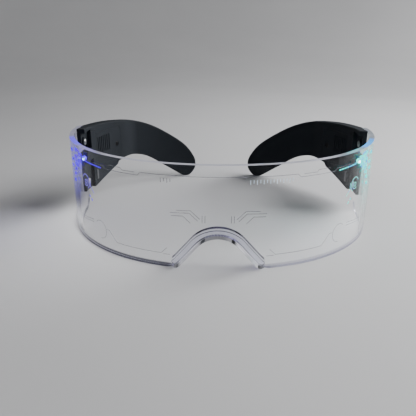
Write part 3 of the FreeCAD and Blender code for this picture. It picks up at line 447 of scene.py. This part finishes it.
def axis_of(name):
    """Where a CAD node's inner end lies, its way out from the head, and its length in mm."""
    points = [v.co for v in nodes[name].data.vertices]
    middle = sum(points, Vector()) / len(points)
    centre = Vector((math.copysign(WRAP_X, middle.x), WRAP_Y, 0)) * MM
    way = Vector((middle.x - centre.x, middle.y - centre.y, 0)).normalized()
    reach = [(point - middle).dot(way) for point in points]
    return middle + way * min(reach), way, (max(reach) - min(reach)) / MM


def turned(place, way, profile, steps=32):
    """Vertices and faces of a form turned about an axis: the profile gives (along, radius)."""
    side = way.cross(UP)
    vertices, faces = [], []
    for along, radius in profile:
        for step in range(steps):
            turn = math.tau * step / steps
            out = side * math.cos(turn) + UP * math.sin(turn)
            vertices.append(place + (way * along + out * radius) * MM)
    for level in range(len(profile) - 1):
        near, far = level * steps, (level + 1) * steps
        for step in range(steps):
            follow = (step + 1) % steps
            faces.append((near + step, near + follow, far + follow, far + step))
    return vertices, faces


def turn_apart(first, second):
    """The angle between two bearings, the short way round."""
    return abs((first - second + math.pi) % math.tau - math.pi)


def screw(name, node, radius, head, height, body, finish):
    """A pan-head screw in place of a plain one: rounded head, cross recess and threaded shank.

    The radius of the shank, the radius of the head and its height are in millimetres.
    """
    place, way, length = axis_of(node)
    profile = [(length, 0.0), (length, radius * 0.55), (length - 0.3, radius * 0.98)]
    along = length - 0.5
    while along - THREAD_PITCH > height + 0.25:
        profile += [(along, radius * 0.80), (along - THREAD_PITCH / 2, radius)]
        along -= THREAD_PITCH
    shoulder = height * 0.45
    profile += [(height, radius * 0.9), (height, head), (shoulder, head)]
    for part in range(1, 5):
        turn = part * math.pi / 2 / 5
        profile.append((shoulder * (1 - math.sin(turn)), head - head * 0.30 * (1 - math.cos(turn))))
    vertices, faces = turned(place, way, profile, SCREW_STEPS)

    # The recess: the corners of a cross in the head's top, and again, drawn in, at its floor.
    arm, half, depth = head * 0.58, head * 0.15, height * 0.75
    cross = []
    for quarter in range(4):
        turn = quarter * math.pi / 2
        for x, y in ((arm, -half), (arm, half), (half, half)):
            cross.append((x * math.cos(turn) - y * math.sin(turn),
                          x * math.sin(turn) + y * math.cos(turn)))
    side = way.cross(UP)
    top = profile[-1][0]
    lip, floor = len(vertices), len(vertices) + CROSS_CORNERS
    for level, narrow in ((top, 1.0), (top + depth, 0.7)):
        for x, y in cross:
            vertices.append(place + (way * level + (side * x + UP * y) * narrow) * MM)
    for corner in range(CROSS_CORNERS):
        follow = (corner + 1) % CROSS_CORNERS
        faces.append((lip + corner, lip + follow, floor + follow, floor + corner))
    faces.append(tuple(floor + corner for corner in range(CROSS_CORNERS)))

    # The face round the recess joins each point of the rim to the nearest corner of the cross.
    rim = (len(profile) - 1) * SCREW_STEPS
    bearings = [math.atan2(y, x) for x, y in cross]
    nearest = []
    for step in range(SCREW_STEPS):
        apart = [turn_apart(bearing, math.tau * step / SCREW_STEPS) for bearing in bearings]
        nearest.append(apart.index(min(apart)))
    for step in range(SCREW_STEPS):
        follow = (step + 1) % SCREW_STEPS
        here, there = lip + nearest[step], lip + nearest[follow]
        if here == there:
            faces.append((rim + step, rim + follow, here))
        else:
            faces.append((rim + step, rim + follow, there, here))
    piece = new_piece(name, vertices, faces, finish, body)
    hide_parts(node)


for side in SIDES:
    for level in ("upper", "lower"):
        screw(f"pan_screw_{level}_{side}", f"lens_screw_{level}_{side}", radius=0.9, head=1.7,
              height=0.7, body="glasses", finish=screw_steel)

# --- Lights and their leads -----------------------------------------------------------------
# A 3 mm light with a water-clear dome is pressed into the boss at the front of each temple, blue
# on one side and blue-green on the other. Two tinned leads run back to the board.
DOME_RADIUS, LIGHT_LENGTH = 1.5, 5.3
DOME_TURNS = [math.pi / 2 * part / 8 for part in range(1, 9)]
LIGHT_PROFILE = [(LIGHT_LENGTH, 0), (LIGHT_LENGTH, DOME_RADIUS), (DOME_RADIUS, DOME_RADIUS)]
LIGHT_PROFILE += [(DOME_RADIUS - DOME_RADIUS * math.sin(turn), DOME_RADIUS * math.cos(turn))
                  for turn in DOME_TURNS]

for side, tip in LIGHT_TIPS.items():
    power, core_tone = {"left": (10.0, (1.0, 1.0, 0.95, 1)),
                        "right": (6.0, (0.3, 0.9, 1.0, 1))}[side]
    dome = Finish(f"light_{side}", IOR=1.5, Emission_Strength=power)
    haze = dome.noise(0.9, 2, 0.5)
    dome.grained(haze, (0.02, 0.03, 0.06, 1), (0.05, 0.07, 0.12, 1),
                 roughness=0.08, rougher=0.1, depth=0.01)
    from_tip = dome.distance(tip)
    ring_hues = [tuple(part * 0.45 for part in hue) for hue in HUES[side]]
    ring_tone = dome.mix(haze.above(0.55, 0.8), *ring_hues)
    outer_tone = dome.mix(from_tip.above(2.0, 5.0), ring_tone, (0, 0, 0.02, 1))
    dome.set(Emission_Color=dome.mix(from_tip.above(1.0, 0.5), outer_tone, core_tone))
    vertices, faces = turned(tip, Vector((0, 1, 0)), LIGHT_PROFILE)
    led = new_piece(f"led_dome_{side}", vertices, faces, dome)
    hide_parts(f"led_{side}")
    for polygon in led.data.polygons:
        polygon.use_smooth = True

tinned_wire = Finish("tinned_wire", Metallic=1.0)
tinned_wire.grained(tinned_wire.noise(0.8, 3, 0.6), (0.45, 0.45, 0.44, 1), (0.70, 0.70, 0.68, 1),
                    roughness=0.3, rougher=0.25, depth=0.01)
dress_both(tinned_wire, "led_lead_upper", "led_lead_lower")

# --- Circuit board --------------------------------------------------------------------------
# A narrow glass-epoxy board stands behind the lid, held by one screw. It carries the chip that
# makes the light patterns and the switch under the button.
board_laminate = Finish("board_laminate")
board_laminate.grained(board_laminate.noise(0.6, 2, 0.5), (0.012, 0.10, 0.035, 1),
                       (0.03, 0.17, 0.06, 1), roughness=0.3, rougher=0.2, depth=0.01)
chip_black = Finish("chip_black")
chip_black.grained(chip_black.noise(0.25, 3, 0.7), (0.012, 0.012, 0.013, 1),
                   (0.030, 0.030, 0.032, 1), roughness=0.5, rougher=0.2, depth=0.01)
dress_both(board_laminate, "circuit_board")
dress_both(chip_black, "mode_chip", "tact_switch")
dress_both(screw_steel, "board_screw")

# --- Mode button ----------------------------------------------------------------------------
# A dark grey nylon button whose brim sits behind the lid. Its face is smooth from use and its
# rim is rubbed paler.
button_grey = Finish("button_grey")
mottle = button_grey.noise(1.8, 4, 0.6)
rubbed = button_grey.worn_edges(0.3)
grey = button_grey.mix(mottle, (0.055, 0.057, 0.062, 1), (0.085, 0.087, 0.092, 1))
button_grey.set(Base_Color=button_grey.mix(rubbed * 0.4, grey, (0.16, 0.16, 0.165, 1)))
button_grey.set(Roughness=mottle * 0.2 + 0.35)
button_grey.bump(button_grey.noise(0.4, 3, 0.6), 0.02)
dress_both(button_grey, "mode_button")
dress_both(black_shell, "board_lid")

# --- Coin cell and contacts -----------------------------------------------------------------
# A 16 mm coin cell lies in a round pocket between two nickel-plated strips, and two short leads
# take its current through a slot to the board.
cell_steel = Finish("cell_steel", Metallic=1.0)
cell_steel.grained(cell_steel.noise(1.2, 4, 0.6), (0.50, 0.50, 0.49, 1), (0.72, 0.72, 0.70, 1),
                   roughness=0.18, rougher=0.2, depth=0.01)
# A can with a rounded edge, a crimped rim, and a cap that stands a little above the groove.
CELL_PROFILE = [(0, 0), (0, 7.1), (0.10, 7.6), (0.45, 8.0), (1.65, 8.0), (1.88, 7.85), (1.88, 7.2),
                (1.70, 7.1), (1.70, 6.8), (1.96, 6.7), (2.0, 6.5), (2.0, 0)]
CELL_STEPS = 48
for side in SIDES:
    place, way, _ = axis_of(f"coin_cell_{side}")
    vertices, faces = turned(place, way, CELL_PROFILE, CELL_STEPS)
    cell = new_piece(f"rimmed_cell_{side}", vertices, faces, cell_steel)
    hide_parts(f"coin_cell_{side}")
dress_both(tinned_wire, "contact_plate", "contact_spring", "cell_lead_minus", "cell_lead_plus")

# --- Battery cover --------------------------------------------------------------------------
# The cover closes the cell's bay from the inner side. Seven finger ribs help to lift it, and one
# small screw keeps it shut. It is moulded in the same black as the shell.
blackened_steel = Finish("blackened_steel", Metallic=1.0)
rub = blackened_steel.noise(0.4, 4, 0.6).above(0.5, 0.72)
blackened_steel.grained(rub, (0.020, 0.020, 0.022, 1), (0.085, 0.083, 0.08, 1),
                        roughness=0.45, rougher=-0.15, depth=0.008)
dress_both(black_shell, "battery_cover")
for side in SIDES:
    screw(f"cover_pan_screw_{side}", f"cover_screw_{side}", radius=0.7, head=1.5, height=0.7,
          body=f"battery_cover_{side}", finish=blackened_steel)

# --- Table ----------------------------------------------------------------------------------
# A sheet of pale grey card that lies level under the glasses. It sweeps up on every side, far
# enough off that no fold and no horizon shows behind them.
AROUND = 96

table_grey = Finish("table_grey", Specular_IOR_Level=0.2)
fibre = table_grey.noise(140, 4, 0.5)
table_grey.set(Base_Color=table_grey.mix(fibre, (0.50, 0.50, 0.51, 1), (0.56, 0.56, 0.565, 1)))
table_grey.set(Roughness=fibre * 0.1 + 0.7)
table_grey.bump(table_grey.noise(9, 4, 0.6), 0.1, 0.3)
# The rings of the sweep in metres, as (radius, height): level at first, then ever steeper.
sweep = [(0.5 + 0.08 * step, 1.5 * (step / 20) ** 3) for step in range(25)]
bearings = [math.tau * step / AROUND for step in range(AROUND)]
vertices = [(reach * math.cos(bearing), reach * math.sin(bearing), up)
            for reach, up in sweep for bearing in bearings]
faces = [tuple(range(AROUND))]
for level in range(len(sweep) - 1):
    near, far = level * AROUND, (level + 1) * AROUND
    for step in range(AROUND):
        follow = (step + 1) % AROUND
        faces.append((near + step, near + follow, far + follow, far + step))
table = add_mesh("table", vertices, faces, table_grey)
for polygon in table.data.polygons:
    polygon.use_smooth = len(polygon.vertices) == 4

# --- Light and camera -----------------------------------------------------------------------
# A near lamp and two large soft ones stand at the right and behind, and the room fills the rest.
# The camera looks down at 21 degrees from in front of the lens.
FILM_WIDTH = 36
FOCAL_PIXELS, PICTURE_PIXELS = 490, 416
DOWNWARD = math.radians(20.9)
ACROSS, FORWARD = -0.0366, 0.9993


def soft_light(name, place, aim, side, power):
    """A square lamp of that side in metres, which the camera doesn't see."""
    lamp = bpy.data.lights.new(name, "AREA")
    lamp.size, lamp.energy = side, power
    holder = bpy.data.objects.new(name, lamp)
    holder.location = place
    holder.rotation_euler = (Vector(aim) - Vector(place)).to_track_quat("-Z", "Y").to_euler()
    holder.visible_camera = False
    bpy.context.scene.collection.objects.link(holder)


soft_light("lamp", (0.32, 0.22, 0.40), (0.02, -0.02, 0), 0.20, 1.05)
soft_light("window", (1.25, 0.8, 0.5), (0.0, 0.5, 0), 0.7, 31)
soft_light("side_lamp", (0.44, -0.02, 0.33), (0.05, 0.0, 0), 0.28, 3.1)
world = bpy.data.worlds.new("room")
bpy.context.scene.world = world
world.use_nodes = True
room = world.node_tree.nodes["Background"]
room.inputs["Color"].default_value = (0.80, 0.81, 0.84, 1)
room.inputs["Strength"].default_value = 0.16

optics = bpy.data.cameras.new("camera")
optics.lens = FILM_WIDTH * FOCAL_PIXELS / PICTURE_PIXELS
optics.sensor_width, optics.sensor_fit = FILM_WIDTH, "HORIZONTAL"
optics.clip_start = 0.005
camera = bpy.data.objects.new("camera", optics)
camera.location = (0.0028, -0.2693, 0.1045)
level = math.cos(DOWNWARD)
ahead = Vector((ACROSS * level, FORWARD * level, -math.sin(DOWNWARD)))
camera.rotation_euler = ahead.to_track_quat("-Z", "Y").to_euler()
bpy.context.scene.collection.objects.link(camera)
bpy.context.scene.camera = camera
